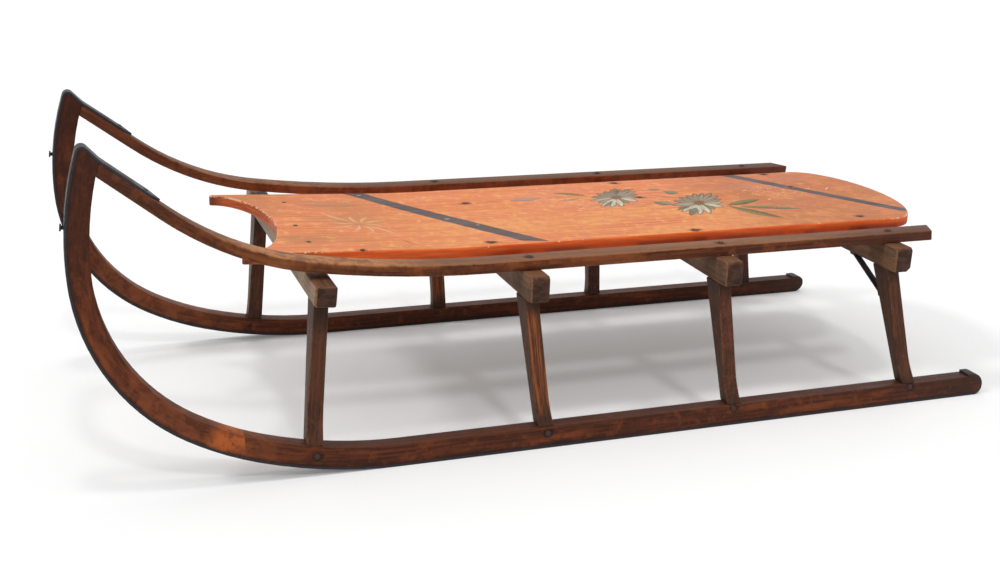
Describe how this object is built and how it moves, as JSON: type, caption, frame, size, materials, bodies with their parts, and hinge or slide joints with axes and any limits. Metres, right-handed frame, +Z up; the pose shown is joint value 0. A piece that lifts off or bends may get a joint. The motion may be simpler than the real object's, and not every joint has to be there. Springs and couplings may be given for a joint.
{
  "type": "wooden sled",
  "caption": "Antique child's sled: bent wooden runners that rise into rails, iron shoes, raked posts, cross-beams and a painted deck board.",
  "frame": {"origin": "on the floor under the middle of the sled's length and width", "axes": "+X forward to the upturned noses, +Y to the sled's left, +Z up"},
  "size_m": [0.9404, 0.3794, 0.3007],
  "materials": {
    "frame_wood": "old dark brown varnish, worn",
    "deck_wood": "worn salmon-orange paint with two slate stripes",
    "iron": "dark old forged strap"
  },
  "bodies": {
    "root": {"beam_1": "frame_wood", "beam_2": "frame_wood", "beam_3": "frame_wood", "beam_4": "frame_wood", "deck": "deck_wood", "post_1_left": "frame_wood", "post_1_right": "frame_wood", "post_2_left": "frame_wood", "post_2_right": "frame_wood", "post_3_left": "frame_wood", "post_3_right": "frame_wood", "post_4_left": "frame_wood", "post_4_right": "frame_wood", "rail_left": "frame_wood", "rail_right": "frame_wood", "rear_brace_left": "iron", "rear_brace_right": "iron", "runner_left": "frame_wood", "runner_right": "frame_wood", "shoe_left": "iron", "shoe_right": "iron", "tow_stud_left": "iron", "tow_stud_right": "iron"}
  },
  "joints": []
}
